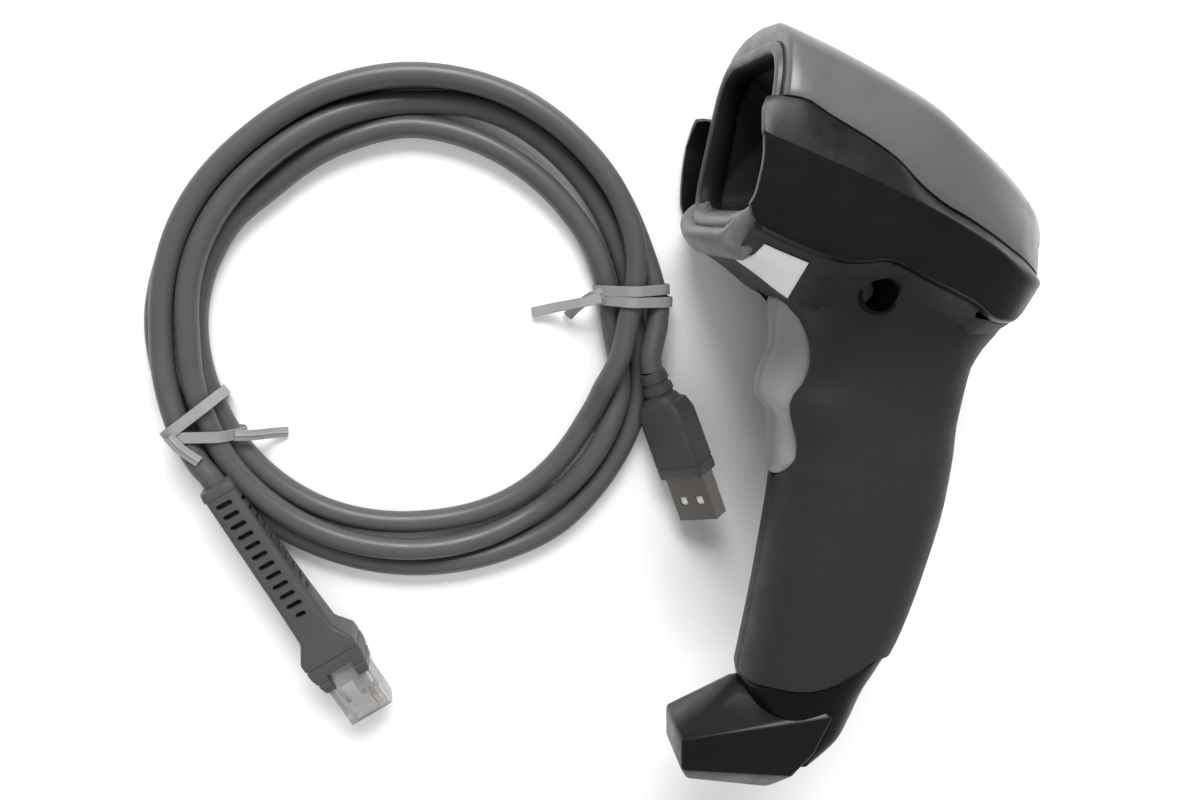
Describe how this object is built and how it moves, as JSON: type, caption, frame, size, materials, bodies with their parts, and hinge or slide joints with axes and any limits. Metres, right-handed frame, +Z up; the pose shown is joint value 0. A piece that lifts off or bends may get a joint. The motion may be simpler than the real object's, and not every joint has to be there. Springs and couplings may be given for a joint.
{
  "type": "handheld barcode scanner",
  "caption": "Handheld barcode scanner with a pistol grip and trigger, lying on its side beside its unplugged coiled cable, which ends in a modular plug and a USB plug.",
  "frame": {"origin": "centre of the scanner's own footprint on the table, measured without the cable set", "axes": "+Z up from the table and out of the scanner's left side; +Y up the grip towards the head; the scan window faces -X"},
  "size_m": [0.2012, 0.1851, 0.068],
  "materials": {
    "cover_grey": "satin",
    "panel_black": "satin",
    "bezel_grey": "satin",
    "recess_black": "matte",
    "rubber_black": "matte",
    "window": "gloss",
    "grip_grey": "matte",
    "base_black": "satin",
    "toe_black": "satin",
    "label_white": "satin",
    "screw_steel": "satin",
    "light_lens": "satin",
    "engine_black": "matte",
    "glass": "gloss",
    "sensor": "gloss",
    "aimer_grey": "satin",
    "led_cream": "gloss",
    "bracket_metal": "satin",
    "flex_amber": "satin",
    "board_green": "satin",
    "connector_cream": "matte",
    "plunger_amber": "satin",
    "trigger_grey": "satin",
    "socket_black": "matte",
    "contact_gold": "polished",
    "cable_grey": "satin",
    "boot_grey": "satin",
    "clear_plastic": "gloss",
    "plug_steel": "satin",
    "tongue_white": "satin",
    "tie_grey": "satin"
  },
  "bodies": {
    "scanner": {"top_cover": "cover_grey", "left_side_panel": "panel_black", "right_side_panel": "panel_black", "front_bezel": "bezel_grey", "window_shroud": "recess_black", "window_gasket": "rubber_black", "scan_window": "window", "left_grip_shell": "grip_grey", "right_grip_shell": "grip_grey", "base_cap": "base_black", "toe": "toe_black", "blank_label": "label_white", "housing_screw": "screw_steel", "board_screws": "screw_steel", "status_light_lens": "light_lens", "imager_housing": "engine_black", "lens_barrel": "engine_black", "lens": "glass", "image_sensor": "sensor", "aimer": "aimer_grey", "illumination_leds": "led_cream", "engine_bracket": "bracket_metal", "engine_flex_cable": "flex_amber", "main_board": "board_green", "board_chips": "sensor", "beeper": "engine_black", "board_header": "connector_cream", "handle_board": "board_green", "trigger_switch": "engine_black", "trigger_pivot_pin": "screw_steel", "trigger_spring": "screw_steel", "cable_socket": "socket_black", "socket_contacts": "contact_gold"},
    "trigger": {"trigger": "trigger_grey"},
    "switch_plunger": {"switch_plunger": "plunger_amber"},
    "cable_set": {"cable_coil": "cable_grey", "scanner_lead": "cable_grey", "usb_lead": "cable_grey", "bend_relief_boot": "boot_grey", "modular_plug": "clear_plastic", "plug_contacts": "contact_gold", "usb_overmould": "boot_grey", "usb_shell": "plug_steel", "usb_tongue": "tongue_white", "usb_contacts": "contact_gold", "coil_tie_right": "tie_grey", "coil_tie_left": "tie_grey"},
    "plug_latch": {"plug_latch": "clear_plastic"}
  },
  "joints": [
    {"name": "trigger_pull", "type": "hinge", "parent": "scanner", "child": "trigger", "pos_m": [-0.012, 0.025, 0.034], "axis": [0, 0, 1], "range_deg": [0, 5], "stiffness_Nm_per_rad": 0.2, "springref_deg": -2.86, "deforming": ["trigger_spring"]},
    {"name": "plunger_travel", "type": "slide", "parent": "scanner", "child": "switch_plunger", "axis": [1, 0, 0], "range_m": [0, 0.0012]},
    {"name": "cable_slide", "type": "slide", "parent": "scanner", "child": "cable_set", "axis": [-1, 0, 0], "range_m": [0, 0.06]},
    {"name": "latch_press", "type": "hinge", "parent": "cable_set", "child": "plug_latch", "pos_m": [-0.096, -0.09326, 0.00886], "axis": [-0.7771, -0.6293, 0], "range_deg": [0, 10], "stiffness_Nm_per_rad": 0.02, "springref_deg": -5.73}
  ],
  "couplings": [
    {"joint": "plunger_travel", "follows": "trigger_pull", "m_per_rad": 0.013}
  ]
}
